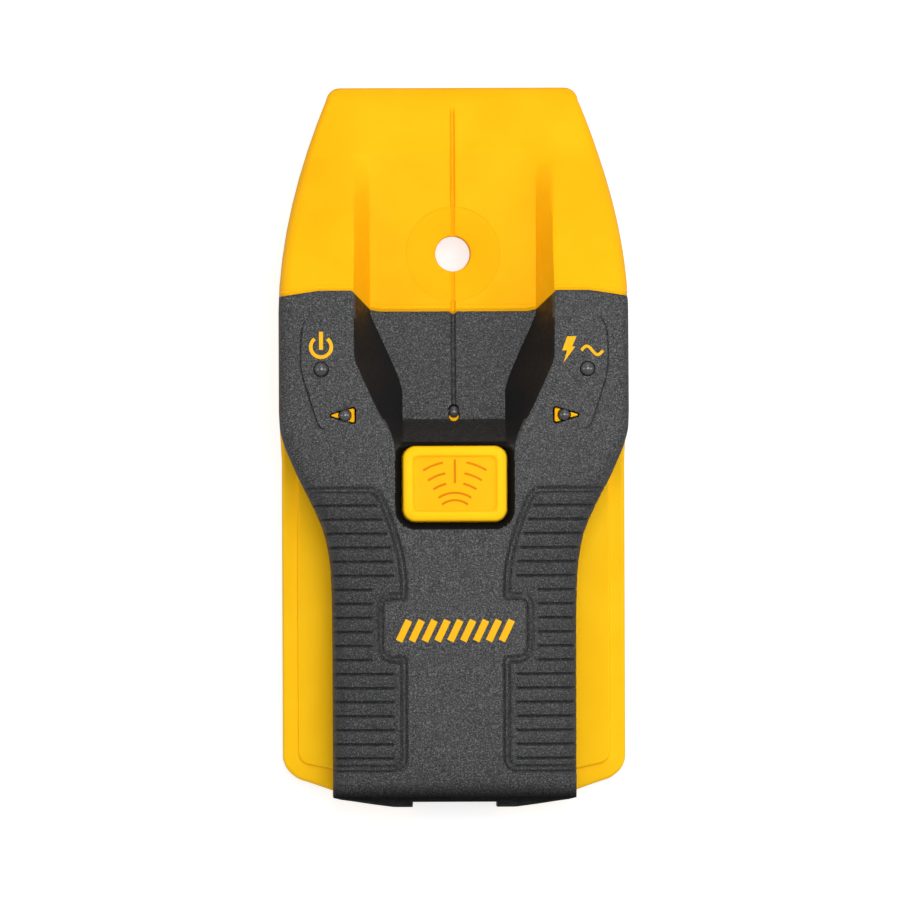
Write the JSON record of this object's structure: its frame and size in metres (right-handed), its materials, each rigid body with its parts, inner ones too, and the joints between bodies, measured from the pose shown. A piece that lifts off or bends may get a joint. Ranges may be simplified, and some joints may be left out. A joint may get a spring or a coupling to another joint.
{
  "type": "stud finder",
  "caption": "Handheld stud finder with a marking channel and hole in its nose, a sprung scan button, four signal lenses and a hinged battery door in its back.",
  "frame": {"origin": "middle of the flat back that slides on the wall", "axes": "+X across the tool, +Y to the nose, +Z out of the wall, towards the button"},
  "size_m": [0.0776, 0.16, 0.031],
  "materials": {
    "shell_yellow": "fine satin moulded ABS",
    "cover_black": "coarse moulded grain",
    "rear_yellow": "satin moulded ABS",
    "door_black": "fine moulded grain",
    "button_yellow": "satin moulded ABS",
    "foam": "closed-cell foam",
    "switch_plastic": "moulded",
    "plunger_plastic": "moulded",
    "circuit_board": "solder mask",
    "chip": "moulded epoxy",
    "ceramic": "ceramic",
    "capacitor_sleeve": "shrink sleeve",
    "buzzer_plastic": "moulded",
    "copper": "bare copper",
    "led_green": "tinted epoxy",
    "led_red": "tinted epoxy",
    "led_white": "clear epoxy",
    "smoked_lens": "smoked polycarbonate",
    "battery_wrap": "printed metal can",
    "terminal_metal": "nickel plated",
    "snap_plastic": "vinyl",
    "lead_red": "PVC insulation",
    "lead_black": "PVC insulation",
    "screw_steel": "zinc plated"
  },
  "bodies": {
    "housing": {"front_shell": "shell_yellow", "grip_cover": "cover_black", "rear_cover": "rear_yellow", "switch_body": "switch_plastic", "main_board": "circuit_board", "controller_chip": "chip", "amplifier_chip": "chip", "board_passives": "ceramic", "filter_capacitor": "capacitor_sleeve", "piezo_buzzer": "buzzer_plastic", "board_header": "chip", "sensor_board": "circuit_board", "sensor_plates": "copper", "power_led": "led_green", "ac_led": "led_red", "left_arrow_led": "led_red", "right_arrow_led": "led_red", "line_led": "led_white", "power_lens": "smoked_lens", "ac_lens": "smoked_lens", "left_arrow_lens": "smoked_lens", "right_arrow_lens": "smoked_lens", "line_lens": "smoked_lens", "battery_case": "battery_wrap", "battery_terminals": "terminal_metal", "battery_snap": "snap_plastic", "positive_lead": "lead_red", "negative_lead": "lead_black", "housing_screws": "screw_steel", "board_screws": "screw_steel"},
    "button": {"scan_button": "button_yellow"},
    "plunger": {"switch_plunger": "plunger_plastic"},
    "door": {"battery_door": "door_black", "battery_pad": "foam"}
  },
  "joints": [
    {"name": "button_press", "type": "slide", "parent": "housing", "child": "button", "axis": [0, 0, -1], "range_m": [0, 0.001], "stiffness_N_per_m": 600, "springref_m": -0.0015},
    {"name": "plunger_press", "type": "slide", "parent": "housing", "child": "plunger", "axis": [0, 0, -1], "range_m": [0, 0.001]},
    {"name": "battery_door_hinge", "type": "hinge", "parent": "housing", "child": "door", "pos_m": [0, -0.021, 0.0016], "axis": [1, 0, 0], "range_deg": [0, 80]}
  ],
  "couplings": [
    {"joint": "plunger_press", "follows": "button_press", "ratio": 1}
  ]
}
